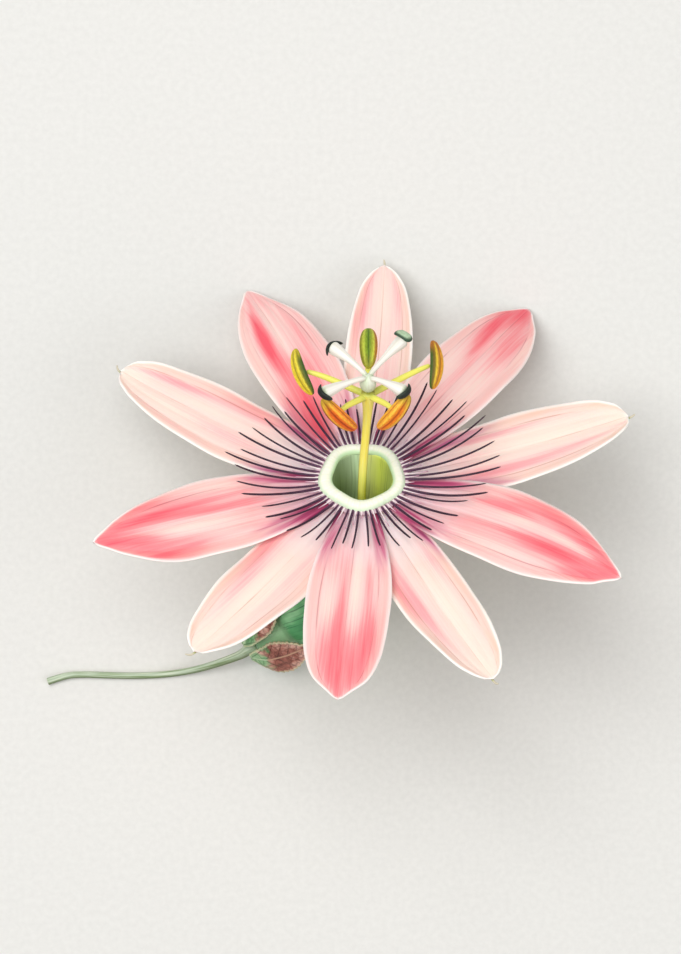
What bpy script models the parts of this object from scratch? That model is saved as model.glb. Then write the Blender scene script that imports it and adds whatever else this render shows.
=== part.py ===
# A passion flower of the banana kind, picked with its stalk and laid down on its calyx tube.
# The face of the bloom leans back, and its two upper side petals and the tube carry it.
import math

import bmesh
import bpy
from mathutils import Vector

# Driving dimensions, in millimetres and degrees.
MM = 0.001
LEAN = 38.0  # between the bloom's axis and straight up
MOUTH_HEIGHT = 36.0  # middle of the corona ring above the surface
SEPAL_THICK = 0.8
PETAL_THICK = 0.7
BRACT_THICK = 0.7
TUBE_LENGTH = 49.0
TUBE_BORE = 4.9  # radius
TUBE_TOP_DEPTH = 2.5  # the tube's rim lies this far under the face
RING_INNER = 5.85
RING_OUTER = 8.0
FILAMENTS = 60
FILAMENT_RADIUS = 0.34
COLUMN_RADIUS = 0.8
COLUMN_TOP = 26.6  # above the face
OVARY = (3.2, 3.2, 4.2)
COLUMN_SIDE = 1.1  # the column leans to one side by this much
TUBE_END = (-20.0, -31.3, 4.9)  # where the stalk joins
TUBE_END_DIRECTION = (-0.84, -0.50, 0.02)
STALK_RADIUS = 0.85
BOX_SHIFT = (3.99, -0.53)  # puts the middle of the flower's box over the origin

# name, direction in the face, reach to the tip, tip height, greatest width, side bend
SEPALS = (
    ("sepal_1", 85.2, 52.3, -0.7, 12.6, -0.6),
    ("sepal_2", 17.6, 52.4, -1.0, 15.4, -1.2),
    ("sepal_3", -63.2, 53.2, 1.5, 13.7, -0.4),
    ("sepal_4", -127.1, 51.2, 1.0, 14.6, 0.4),
    ("sepal_5", 148.8, 53.0, -2.0, 14.7, 1.5),
)
PETALS = (
    ("petal_1", 56.0, 56.9, -7.95, 15.4, -1.6),
    ("petal_2", -25.7, 53.2, 0.0, 17.6, 1.0),
    ("petal_3", -95.0, 52.8, 2.0, 15.8, 0.0),
    ("petal_4", -163.5, 52.0, 0.0, 17.4, 1.1),
    ("petal_5", 113.5, 54.5, -5.85, 14.7, 0.6),
)
# how far the corona's threads reach, every 45 degrees round the face
THREAD_REACH = (26.0, 24.0, 16.5, 21.5, 25.0, 20.0, 17.9, 20.0)
# middle of the anther in the face's own directions, its long axis and its face in the world
ANTHERS = (
    ("anther_1", (1.2, 10.6, 26.6), (0.0, 0.80, -0.60), (0.0, 0.60, 0.80)),
    ("anther_2", (-11.3, 4.4, 26.6), (0.36, -0.92, 0.15), (-0.75, -0.2, 0.6)),
    ("anther_3", (13.6, 6.3, 26.6), (-0.02, -0.98, 0.2), (0.8, 0.0, 0.6)),
    ("anther_4", (-4.3, -6.4, 27.2), (0.66, -0.62, -0.42), (-0.35, -0.3, 0.88)),
    ("anther_5", (5.9, -6.4, 27.9), (-0.60, -0.68, -0.42), (0.35, -0.3, 0.88)),
)
STYLE_ENDS = (
    ("style_1", (-4.9, 6.0, 31.5)),
    ("style_2", (7.0, 7.6, 31.5)),
    ("style_3", (-6.4, -4.7, 32.5)),
    ("style_4", (7.2, -4.4, 32.5)),
)

COLOURS = {
    "sepal": (0.86, 0.55, 0.47),
    "petal": (0.80, 0.26, 0.26),
    "tube": (0.35, 0.45, 0.22),
    "bract": (0.16, 0.25, 0.06),
    "stalk": (0.42, 0.47, 0.17),
    "ring": (0.72, 0.80, 0.58),
    "thread": (0.06, 0.01, 0.04),
    "column": (0.68, 0.55, 0.07),
    "anther": (0.62, 0.27, 0.02),
    "ovary": (0.60, 0.68, 0.38),
    "style": (0.82, 0.82, 0.76),
    "stigma": (0.12, 0.22, 0.10),
}

lean = math.radians(LEAN)
face_across = Vector((1.0, 0.0, 0.0))
face_up = Vector((0.0, math.cos(lean), -math.sin(lean)))
face_out = Vector((0.0, math.sin(lean), math.cos(lean)))
mouth = Vector((0.0, 0.0, MOUTH_HEIGHT))


def clear_scene():
    for obj in list(bpy.data.objects):
        bpy.data.objects.remove(obj)
    flower = bpy.data.collections.new("passion_flower")
    helpers = bpy.data.collections.new("helpers")
    bpy.context.scene.collection.children.link(flower)
    bpy.context.scene.collection.children.link(helpers)
    helpers.hide_render = True
    return flower, helpers


def on_face(a, b, w):
    return mouth + face_across * a + face_up * b + face_out * w


def around(angle, r, w, side=0.0):
    turn = math.radians(angle)
    a = r * math.cos(turn) - side * math.sin(turn)
    b = r * math.sin(turn) + side * math.cos(turn)
    return on_face(a, b, w)


def ramp(value, start, end):
    t = min(max((value - start) / (end - start), 0.0), 1.0)
    return t * t * (3.0 - 2.0 * t)


def between(values, place):
    place = min(max(place, 0.0), 1.0) * (len(values) - 1)
    low = min(int(place), len(values) - 2)
    share = ramp(place - low, 0.0, 1.0)
    return values[low] + (values[low + 1] - values[low]) * share


def bezier(p0, p1, p2, p3, steps):
    points = []
    for i in range(steps + 1):
        t = i / steps
        u = 1.0 - t
        points.append(p0 * u**3 + p1 * (3 * u * u * t) + p2 * (3 * u * t * t) + p3 * t**3)
    return points


def material(name):
    found = bpy.data.materials.get(name)
    if found:
        return found
    made = bpy.data.materials.new(name)
    made.use_nodes = True
    shader = made.node_tree.nodes["Principled BSDF"]
    shader.inputs["Base Color"].default_value = (*COLOURS[name], 1.0)
    shader.inputs["Roughness"].default_value = 0.55
    return made


def finish(name, bm, kind, collection):
    for vertex in bm.verts:
        vertex.co = (vertex.co + Vector((*BOX_SHIFT, 0.0))) * MM
    mesh = bpy.data.meshes.new(name)
    bm.to_mesh(mesh)
    bm.free()
    mesh.shade_smooth()
    mesh.set_sharp_from_angle(angle=math.radians(40.0))
    mesh.materials.append(material(kind).copy())
    mesh.materials[0].name = name
    obj = bpy.data.objects.new(name, mesh)
    collection.objects.link(obj)
    return obj


def helper(name, collection):
    obj = bpy.data.objects[name]
    obj.hide_render = True
    obj.display_type = "WIRE"
    return obj


def rod(name, points, radii, kind, collection, resolution=1):
    """A tapered rod along a line of points, closed at both ends."""
    data = bpy.data.curves.new(name + "_line", "CURVE")
    data.dimensions = "3D"
    data.bevel_depth = MM
    data.bevel_resolution = resolution
    data.use_fill_caps = True
    spline = data.splines.new("POLY")
    spline.points.add(len(points) - 1)
    for point, place, radius in zip(spline.points, points, radii):
        point.co = (*(place * MM), 1.0)
        point.radius = radius
    line = bpy.data.objects.new(name + "_line", data)
    collection.objects.link(line)
    graph = bpy.context.evaluated_depsgraph_get()
    mesh = bpy.data.meshes.new_from_object(line.evaluated_get(graph))
    bpy.data.objects.remove(line)
    bm = bmesh.new()
    bm.from_mesh(mesh)
    bpy.data.meshes.remove(mesh)
    bmesh.ops.remove_doubles(bm, verts=bm.verts, dist=1e-7)
    for vertex in bm.verts:
        vertex.co /= MM
    return finish(name, bm, kind, collection)


def turned(name, profile, steps, place, kind, collection):
    """A closed outline of (radius, height) turned once round, each point then put in its place."""
    bm = bmesh.new()
    rim = [bm.verts.new((r, 0.0, h)) for r, h in profile]
    edges = [bm.edges.new((rim[i], rim[(i + 1) % len(rim)])) for i in range(len(rim))]
    edges = [edge for edge in edges if max(v.co.x for v in edge.verts) > 1e-6]
    bmesh.ops.spin(
        bm, geom=rim + edges, cent=(0, 0, 0), axis=(0, 0, 1), angle=2 * math.pi,
        steps=steps, use_merge=True,
    )
    bmesh.ops.remove_doubles(bm, verts=bm.verts, dist=1e-4)
    bmesh.ops.delete(bm, geom=[e for e in bm.edges if not e.link_faces], context="EDGES")
    for vertex in bm.verts:
        vertex.co = place(vertex.co)
    bmesh.ops.triangulate(bm, faces=bm.faces)
    bmesh.ops.recalc_face_normals(bm, faces=bm.faces)
    return finish(name, bm, kind, collection)


def oval(name, size, place, kind, collection, around_steps=14, along_steps=9):
    """An egg-shaped body of three full sizes, each point then put in its place."""
    bm = bmesh.new()
    bmesh.ops.create_uvsphere(bm, u_segments=around_steps, v_segments=along_steps, radius=0.5)
    for vertex in bm.verts:
        x, y, z = vertex.co
        vertex.co = place(Vector((x * size[0], y * size[1], z * size[2])))
    bmesh.ops.triangulate(bm, faces=bm.faces)
    bmesh.ops.recalc_face_normals(bm, faces=bm.faces)
    return finish(name, bm, kind, collection)


def join(name, other_names, solver, flower):
    """One body of the named object and the others, which are then gone."""
    group = bpy.data.collections.new(name + "_repeats")
    for other in other_names:
        obj = bpy.data.objects[other]
        flower.objects.unlink(obj)
        group.objects.link(obj)
    whole = bpy.data.objects[name]
    union = whole.modifiers.new("union", "BOOLEAN")
    union.operation = "UNION"
    union.operand_type = "COLLECTION"
    union.collection = group
    union.solver = solver
    graph = bpy.context.evaluated_depsgraph_get()
    joined = bpy.data.meshes.new_from_object(whole.evaluated_get(graph))
    whole.modifiers.clear()
    whole.data = joined
    for other in other_names:
        bpy.data.objects.remove(bpy.data.objects[other])
    bpy.data.collections.remove(group)


# ---- sepals and petals

PETAL_OUTLINE = (0.36, 0.50, 0.70, 0.88, 0.98, 1.00, 0.93, 0.74, 0.42, 0.07)
SEPAL_OUTLINE = (0.46, 0.60, 0.76, 0.90, 0.98, 1.00, 0.93, 0.79, 0.56, 0.15)


def blade(name, spec, outline, base, arch, margin, thick, kind, flower):
    angle, reach, tip, width, bend = spec
    base_r, base_w = base
    bm = bmesh.new()
    bmesh.ops.create_grid(bm, x_segments=15, y_segments=6, size=1.0)
    for vertex in bm.verts:
        s = (vertex.co.x + 1.0) / 2.0
        t = vertex.co.y
        along = s + 0.02 * math.sin(math.pi * s) * (1 - t * t)
        r = base_r + (reach - base_r) * along
        w = base_w + (tip - base_w) * s**2.6 + arch * math.sin(math.pi * s)
        w += margin * t * t * ramp(s, 0.42, 0.72)
        side = t * between(outline, s) * width / 2.0 + bend * math.sin(math.pi * s)
        vertex.co = around(angle, r, w, side)
    bmesh.ops.triangulate(bm, faces=bm.faces)
    obj = finish(name, bm, kind, flower)
    shell = obj.modifiers.new("thickness", "SOLIDIFY")
    shell.thickness = thick * MM
    shell.offset = 0.0
    return obj


def add_sepals(flower, helpers):
    for name, *spec in SEPALS:
        sepal = blade(
            name, spec, SEPAL_OUTLINE, (6.1, -1.7), 0.6, 1.5, SEPAL_THICK, "sepal", flower
        )
        add_awn(sepal, spec, helpers)


def add_awn(sepal, spec, helpers):
    """The keel on a sepal's back, which runs on past the tip as a short awn."""
    angle, reach, tip, width, bend = spec
    points = []
    radii = []
    for i in range(9):
        s = 0.30 + 0.72 * i / 8
        inside = min(s, 1.0)
        w = -1.7 + (tip + 1.7) * inside**2.6 + 0.6 * math.sin(math.pi * inside)
        sink = 0.35 + 0.5 * ramp(s, 0.85, 1.02)
        points.append(around(angle, 6.1 + (reach - 6.1) * s, w - sink, bend * math.sin(math.pi * inside)))
        radii.append(0.55 - 0.15 * ramp(s, 0.5, 1.0))
    points.append(around(angle, reach + 1.9, tip - 1.3, 0.3))
    radii.append(0.32)
    rod(sepal.name + "_keel", points, radii, "sepal", helpers)
    keel = helper(sepal.name + "_keel", helpers)
    union = sepal.modifiers.new("keel", "BOOLEAN")
    union.operation = "UNION"
    union.object = keel
    union.solver = "EXACT"


def add_petals(flower):
    for name, *spec in PETALS:
        blade(name, spec, PETAL_OUTLINE, (6.3, -0.6), 1.4, -0.5, PETAL_THICK, "petal", flower)


# ---- tube, stalk and bracts

def tube_line():
    start = mouth - face_out * TUBE_TOP_DEPTH
    end = Vector(TUBE_END)
    last = Vector(TUBE_END_DIRECTION).normalized()
    return bezier(start, start - face_out * 21.0, end - last * 21.0, end, 120)


def line_frame(line, distance):
    """The place on a line at a distance from its start, with two directions across it."""
    walked = 0.0
    for first, second in zip(line, line[1:]):
        step = (second - first).length
        if walked + step >= distance or second is line[-1]:
            along = (second - first).normalized()
            place = first + along * (distance - walked)
            break
        walked += step
    across = (face_across - along * along.dot(face_across)).normalized()
    return place, along, across, along.cross(across)


def length_of(line):
    return sum((second - first).length for first, second in zip(line, line[1:]))


def tube_outline(length):
    """(radius, distance from the rim) of the tube's wall, outside and then inside."""
    outer = [(5.7, 0.0), (6.25, 0.7), (6.4, 1.8), (6.3, 4.0), (6.1, 8.0), (6.0, 14.0), (6.0, 22.0)]
    outer += [(6.0, 30.0), (6.1, length - 14.0), (6.15, length - 9.5), (5.85, length - 7.6)]
    outer += [(5.0, length - 6.7), (4.3, length - 6.2), (4.35, length - 4.0), (4.2, length - 2.2)]
    outer += [(3.4, length - 0.7), (1.9, length), (0.0, length)]
    inner = [(0.0, length - 1.5), (2.2, length - 1.7), (3.2, length - 3.0), (3.3, length - 6.6)]
    inner += [(4.4, length - 8.0), (TUBE_BORE, length - 10.0), (TUBE_BORE, 30.0), (TUBE_BORE, 15.0)]
    inner += [(TUBE_BORE, 4.0), (5.1, 0.0)]
    return outer + inner


def add_tube(flower, helpers):
    line = tube_line()
    length = length_of(line)

    def place(co):
        spot, along, across, over = line_frame(line, co.z)
        return spot + across * co.x + over * co.y

    tube = turned("calyx_tube", tube_outline(length), 32, place, "tube", flower)
    bm = bmesh.new()
    bmesh.ops.create_cube(bm, size=1.0)
    for vertex in bm.verts:
        x, y, z = vertex.co
        vertex.co = Vector((-16.0 + x * 40.0, -26.0 + y * 40.0, -5.0 + z * 10.0))
    finish("surface_cut", bm, "tube", helpers)
    flat = tube.modifiers.new("flat_spot", "BOOLEAN")
    flat.operation = "DIFFERENCE"
    flat.object = helper("surface_cut", helpers)
    flat.solver = "EXACT"


def add_stalk(flower):
    last = Vector(TUBE_END_DIRECTION).normalized()
    end = Vector(TUBE_END)
    low = STALK_RADIUS + 0.02
    points = [end + last * 0.35, end + last * 1.8, end + last * 4.0 - Vector((0.0, 0.0, 0.5))]
    points += [Vector((-28.3, -35.1, 2.6)), Vector((-33.0, -36.3, low + 0.35))]
    points += [Vector((-38.3, -37.0, low)), Vector((-43.5, -37.2, low)), Vector((-48.7, -37.1, low))]
    points += [Vector((-52.5, -37.0, low)), Vector((-55.8, -37.2, low)), Vector((-59.6, -38.3, low))]
    radii = [1.55, 1.25, 0.95] + [STALK_RADIUS] * 8
    rod("peduncle", smooth_line(points), smooth_radii(radii), "stalk", flower, 2)


def smooth_line(points):
    made = []
    for i in range(len(points) - 1):
        before = points[max(i - 1, 0)]
        after = points[min(i + 2, len(points) - 1)]
        first, second = points[i], points[i + 1]
        made.append(first)
        made.append((first + second) * 0.5625 - (before + after) * 0.0625)
    return made + [points[-1]]


def smooth_radii(radii):
    made = []
    for first, second in zip(radii, radii[1:]):
        made.append(first)
        made.append((first + second) / 2.0)
    return made + [radii[-1]]


# name, turn from straight down round the tube, length, half width, how far it opens and flattens
BRACTS = (
    ("bract_1", 138.0, 12.0, 3.7, 1.0),
    ("bract_2", 215.0, 12.6, 3.5, 0.0),
    ("bract_3", -75.0, 12.6, 3.4, 0.0),
)
BRACT_OUTLINE = (0.26, 0.62, 0.88, 0.99, 1.0, 0.93, 0.78, 0.56, 0.33, 0.12)
# distance of a bract's middle from the tube's axis, from its foot to its tip
BRACT_STAND = (2.35, 4.0, 5.4, 5.9, 6.4, 6.9, 7.2, 7.5, 8.1, 9.0)


def add_bracts(flower):
    line = tube_line()
    length = length_of(line)
    for name, turn, long, wide, opened in BRACTS:
        bm = bmesh.new()
        bmesh.ops.create_grid(bm, x_segments=18, y_segments=6, size=1.0)
        for vertex in bm.verts:
            s = (vertex.co.x + 1.0) / 2.0
            t = vertex.co.y
            stand = between(BRACT_STAND, s) + 0.3 * opened * ramp(s, 0.1, 0.5)
            half = wide * between(BRACT_OUTLINE, s)
            row = round(s * 18)
            if abs(t) > 0.9 and 0 < row < 18:
                half += 0.28 if row % 2 else -0.28
            back = 2.0 - long * s
            spot, along = line_frame(line, length + back)[:2]
            flat = 0.8 * opened
            angle = math.radians(turn) + (1.0 - flat) * t * min(half / max(stand, 3.2), 0.56)
            roll = math.radians(15.0) * opened * ramp(s, 0.0, 0.45)
            down = (Vector((0, 0, -1)) + along * along.z).normalized()
            aside = along.cross(down)
            outward = down * math.cos(angle) + aside * math.sin(angle)
            beside = aside * math.cos(angle) - down * math.sin(angle)
            across = beside * math.cos(roll) - outward * math.sin(roll)
            vertex.co = spot + outward * stand + across * (flat * t * half)
        bmesh.ops.triangulate(bm, faces=bm.faces)
        obj = finish(name, bm, "bract", flower)
        shell = obj.modifiers.new("thickness", "SOLIDIFY")
        shell.thickness = BRACT_THICK * MM
        shell.offset = 0.0


# ---- corona

def add_ring(flower):
    profile = [(RING_INNER, 0.40), (RING_INNER - 0.12, 1.0), (RING_INNER + 0.35, 1.55)]
    profile += [(6.9, 1.85), (7.6, 1.55), (RING_OUTER, 0.95), (RING_OUTER, 0.40)]

    def place(co):
        turn = math.atan2(co.y, co.x)
        swell = 1.0 + 0.022 * math.cos(5.0 * turn - math.radians(90.0))
        return on_face(co.x * swell, co.y * swell, co.z)

    turned("corona_ring", profile, 40, place, "ring", flower)


def add_threads(flower):
    profile = [(8.50, 0.55), (8.50, 1.15), (9.20, 1.15), (9.20, 0.55)]
    turned("corona_threads", profile, 60, lambda co: on_face(*co), "thread", flower)
    names = []
    for i in range(FILAMENTS):
        angle = 360.0 * (i + 0.5) / FILAMENTS + 0.9 * math.sin(i * 2.3)
        reach = between(THREAD_REACH + THREAD_REACH[:1], (angle % 360.0) / 360.0)
        reach *= 1.0 + 0.035 * math.sin(i * 3.7)
        turn = 5.0 * math.sin(i * 1.1) * 0.35
        points = []
        for j in range(6):
            s = j / 5.0
            r = 8.85 + (reach - 8.85) * s
            w = 0.85 + 0.05 * (r - 8.85) + 0.0105 * (r - 8.85) ** 2
            points.append(around(angle + turn * s * s, r, w))
        radii = [FILAMENT_RADIUS + 0.03] + [FILAMENT_RADIUS] * 4 + [FILAMENT_RADIUS - 0.06]
        name = "thread_%02d" % i
        rod(name, points, radii, "thread", flower, 0)
        names.append(name)
    join("corona_threads", names, "EXACT", flower)


# ---- column, stamens, ovary and styles

def column_point(w):
    return on_face(COLUMN_SIDE * ramp(w, -4.0, COLUMN_TOP), 0.0, w)


def across_from(face, long):
    along = Vector(long).normalized()
    front = Vector(face)
    return (front - along * along.dot(front)).normalized()


def add_column(flower):
    line = tube_line()
    length = length_of(line)
    points = [line_frame(line, length - 2.1 - 3.6 * i)[0] for i in range(13)]
    points += [column_point(w) for w in (1.0, 6.0, 11.0, 16.0, 21.0, 24.6, COLUMN_TOP)]
    radii = [1.1, 0.95] + [COLUMN_RADIUS] * 15 + [0.95, 1.25, 1.3]
    rod("androgynophore", points, radii[: len(points)], "column", flower, 2)
    names = []
    for i, (name, middle, long, face) in enumerate(ANTHERS):
        start = column_point(25.4)
        front = across_from(face, long)
        end = on_face(*middle) - front * 1.15
        points = bezier(start, start.lerp(end, 0.4), start.lerp(end, 0.75) - front * 1.4, end, 6)
        rod("arm_%d" % i, points, [0.66, 0.62, 0.6, 0.58, 0.54, 0.48, 0.4], "column", flower)
        names.append("arm_%d" % i)
    join("androgynophore", names, "EXACT", flower)


def add_anthers(flower):
    for name, middle, long, face in ANTHERS:
        along = Vector(long).normalized()
        front = across_from(face, long)
        across = along.cross(front)
        centre = on_face(*middle)

        def place(co):
            bow = -0.045 * co.z * co.z
            return centre + along * co.z + across * co.x + front * (co.y + bow + 0.35)

        oval(name, (3.4, 1.7, 9.2), place, "anther", flower)


def add_ovary(flower):
    def place(co):
        centre = on_face(COLUMN_SIDE, 0.0, COLUMN_TOP + 0.35 + OVARY[2] / 2)
        return centre + face_out * co.z + face_across * co.x + face_up * co.y

    oval("ovary", OVARY, place, "ovary", flower)


def add_styles(flower):
    top = COLUMN_TOP + 0.35 + OVARY[2]
    for i, (name, end) in enumerate(STYLE_ENDS):
        a, b, w = end
        out = Vector((a - COLUMN_SIDE, b)).normalized()
        foot = on_face(COLUMN_SIDE + out.x * 0.95, out.y * 0.95, top - 0.05)
        tip = on_face(a, b, w)
        rise = face_out * 0.7
        points = bezier(foot, foot + rise * 0.7, foot.lerp(tip, 0.55) + rise, tip, 8)
        rod(name, points, [0.55, 0.6, 0.62, 0.62, 0.62, 0.66, 0.76, 0.95, 1.15], "style", flower)
        heading = (points[-1] - points[-2]).normalized()
        add_stigma("stigma_%d" % (i + 1), points[-1], heading, flower)


def add_stigma(name, tip, heading, flower):
    across = heading.cross(face_out).normalized()
    over = across.cross(heading)
    centre = tip + heading * 1.15

    def place(co):
        return centre + heading * co.z + across * co.x + over * co.y

    oval(name, (3.3, 2.7, 1.5), place, "stigma", flower, 12, 8)


flower, helpers = clear_scene()
add_sepals(flower, helpers)
add_petals(flower)
add_tube(flower, helpers)
add_stalk(flower)
add_bracts(flower)
add_ring(flower)
add_threads(flower)
add_column(flower)
add_anthers(flower)
add_ovary(flower)
add_styles(flower)
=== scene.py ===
import math

import bmesh
import bpy
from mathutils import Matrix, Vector, noise


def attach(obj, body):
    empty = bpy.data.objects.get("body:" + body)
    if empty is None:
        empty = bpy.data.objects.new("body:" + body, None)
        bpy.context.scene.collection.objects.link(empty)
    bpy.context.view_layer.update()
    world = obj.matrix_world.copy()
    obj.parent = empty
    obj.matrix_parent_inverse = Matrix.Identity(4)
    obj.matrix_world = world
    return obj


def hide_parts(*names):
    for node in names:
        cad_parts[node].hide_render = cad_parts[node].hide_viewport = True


# A passion flower of the banana kind, laid on its calyx tube, dressed as the living bloom.
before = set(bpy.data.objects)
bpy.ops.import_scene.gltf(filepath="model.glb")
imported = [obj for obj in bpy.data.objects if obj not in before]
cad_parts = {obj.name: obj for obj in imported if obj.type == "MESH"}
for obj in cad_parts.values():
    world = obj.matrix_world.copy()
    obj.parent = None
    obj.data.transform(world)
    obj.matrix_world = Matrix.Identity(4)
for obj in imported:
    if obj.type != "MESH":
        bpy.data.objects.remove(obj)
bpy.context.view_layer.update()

mm = 0.001
bloom = {
    "lean": 38.0,  # degrees between the bloom's axis and straight up
    "mouthHeight": 36.0,  # middle of the ring above the surface, mm
    "shift": (3.99, -0.53),  # the mouth beside the middle of the box, mm
}

lean = math.radians(bloom["lean"])
faceAcross = Vector((1.0, 0.0, 0.0))
faceUp = Vector((0.0, math.cos(lean), -math.sin(lean)))
faceOut = Vector((0.0, math.sin(lean), math.cos(lean)))
mouth = Vector((0.0, 0.0, bloom["mouthHeight"]))


def onFace(a, b, w):
    return mouth + faceAcross * a + faceUp * b + faceOut * w


def around(angle, r, w, side=0.0):
    turn = math.radians(angle)
    a = r * math.cos(turn) - side * math.sin(turn)
    b = r * math.sin(turn) + side * math.cos(turn)
    return onFace(a, b, w)


def ramp(value, start, end):
    t = min(max((value - start) / (end - start), 0.0), 1.0)
    return t * t * (3.0 - 2.0 * t)


def through(values, place):
    # a smooth curve through the values, for numbers and for points alike
    place = min(max(place, 0.0), 1.0) * (len(values) - 1)
    low = min(int(place), len(values) - 2)
    u = place - low
    a, b, c, d = (values[min(max(low + k, 0), len(values) - 1)] for k in (-1, 0, 1, 2))
    made = b * 2.0 + (c - a) * u + (a * 2.0 - b * 5.0 + c * 4.0 - d) * (u * u)
    return (made + (b * 3.0 - a - c * 3.0 + d) * (u * u * u)) * 0.5


def bezier(p0, p1, p2, p3, steps):
    points = []
    for i in range(steps + 1):
        t = i / steps
        u = 1.0 - t
        points.append(p0 * u**3 + p1 * (3 * u * u * t) + p2 * (3 * u * t * t) + p3 * t**3)
    return points


def linear(hexColour):
    channels = [int(hexColour[i:i + 2], 16) / 255.0 for i in (1, 3, 5)]
    return (*[c / 12.92 if c <= 0.04045 else ((c + 0.055) / 1.055) ** 2.4 for c in channels], 1.0)


def bell(value, width):
    return math.exp(-(value / width) ** 2)


def dome(value):
    return math.sqrt(max(0.0, 1.0 - value ** 2))


def addNode(material, kind, inputs=(), stops=(), **settings):
    # an input is a value, a hex tone, a socket, or a node whose first output is meant
    tree = material.node_tree
    made = tree.nodes.new("ShaderNode" + kind)
    for key, value in settings.items():
        setattr(made, key, value)
    for socket, value in inputs.items() if isinstance(inputs, dict) else enumerate(inputs):
        if isinstance(value, bpy.types.Node):
            value = next(out for out in value.outputs if out.enabled)
        if isinstance(value, bpy.types.NodeSocket):
            tree.links.new(value, made.inputs[socket])
        else:
            made.inputs[socket].default_value = linear(value) if isinstance(value, str) else value
    for index, (position, tone) in enumerate(stops):
        if index > 1:
            made.color_ramp.elements.new(position)
        made.color_ramp.elements[index].position = position
        made.color_ramp.elements[index].color = linear(tone)
    return made


def newMaterial(name, *grains):
    # an empty material with a noise for each grain: its layer, its stretch and its detail
    made = bpy.data.materials.new(name)
    made.use_nodes = True
    made.node_tree.nodes.clear()
    noises = []
    for layer, stretch, detail in grains:
        spot = addNode(made, "Attribute", attribute_name=layer).outputs["Vector"]
        spot = addNode(made, "Mapping", {"Vector": spot, "Scale": stretch})
        noises.append(addNode(made, "TexNoise", {"Vector": spot, "Scale": 1.0, "Detail": detail}))
    return made, *noises


def newMesh():
    bm = bmesh.new()
    layers = {
        "paint": bm.verts.layers.float_color.new("paint"),
        "place": bm.verts.layers.float_vector.new("place"),
        "share": bm.verts.layers.float_vector.new("share"),
    }
    return bm, layers


def finishMaterial(made, colour, coats, relief, look):
    # coats of (how much, tone) over the colour, the relief with its depth in mm, the shader
    for much, tone in coats:
        colour = addNode(made, "Mix", {0: much, 6: colour, 7: tone}, data_type="RGBA")
    height, depth, strength = relief
    bump = addNode(made, "Bump", {"Height": height, "Distance": depth * mm, "Strength": strength})
    shader = addNode(made, "BsdfPrincipled", {"Base Color": colour, "Normal": bump, **look})
    addNode(made, "OutputMaterial", {"Surface": shader})
    return made


def finishPiece(name, bm, materials, nodes):
    shift = Vector((*bloom["shift"], 0.0))
    for vertex in bm.verts:
        vertex.co = (vertex.co + shift) * mm
    mesh = bpy.data.meshes.new(name)
    bm.to_mesh(mesh)
    bm.free()
    for face in mesh.polygons:
        face.use_smooth = True
    for material in materials:
        mesh.materials.append(material)
    piece = bpy.data.objects.new(name, mesh)
    bpy.context.scene.collection.objects.link(piece)
    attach(piece, "root")
    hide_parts(*nodes)
    return piece


def swept(bm, layers, points, radii, reference, sides, steps, paintOf=None, shapeOf=None,
          flatEnd=0.0):
    # a tapered stem along a line of points, closed at both ends
    made = bmesh.ops.create_uvsphere(bm, u_segments=sides, v_segments=steps, radius=1.0)["verts"]
    length = sum((b - a).length for a, b in zip(points, points[1:]))
    rounding = min(0.2, 1.2 * max(radii[0], 0.2) / length)
    for vertex in made:
        s = 1.0 - math.acos(max(-1.0, min(1.0, vertex.co.z))) / math.pi
        turn = math.atan2(vertex.co.y, vertex.co.x)
        path = min(s / (1.0 - flatEnd), 1.0)
        spot = through(points, path)
        along = through(points, min(path + 0.01, 1.0)) - through(points, max(path - 0.01, 0.0))
        along.normalize()
        across = (reference - along * along.dot(reference)).normalized()
        over = along.cross(across)
        radius = through(radii, path)
        if shapeOf:
            radius *= shapeOf(path, turn)
        if s < rounding:
            radius *= dome(1.0 - s / rounding)
        if flatEnd:
            radius *= min(1.0, (1.0 - s) / (flatEnd * 0.8))
        elif s > 1.0 - rounding:
            radius *= dome(1.0 - (1.0 - s) / rounding)
        if vertex.co.x**2 + vertex.co.y**2 < 1e-8:
            radius = 0.0
        vertex.co = spot + (across * math.cos(turn) + over * math.sin(turn)) * radius
        vertex[layers["place"]] = (path * length, turn, 0.0)
        vertex[layers["share"]] = (path, s, 0.0)
        if paintOf:
            vertex[layers["paint"]] = paintOf(path, turn, s)
    bmesh.ops.recalc_face_normals(
        bm, faces=list({face for vertex in made for face in vertex.link_faces})
    )


# Sepals and petals. A patch is (along, across, how long, how wide, strength), in hundredths:
# along the blade from 0 to 100, across it from -100 to 100.

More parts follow.
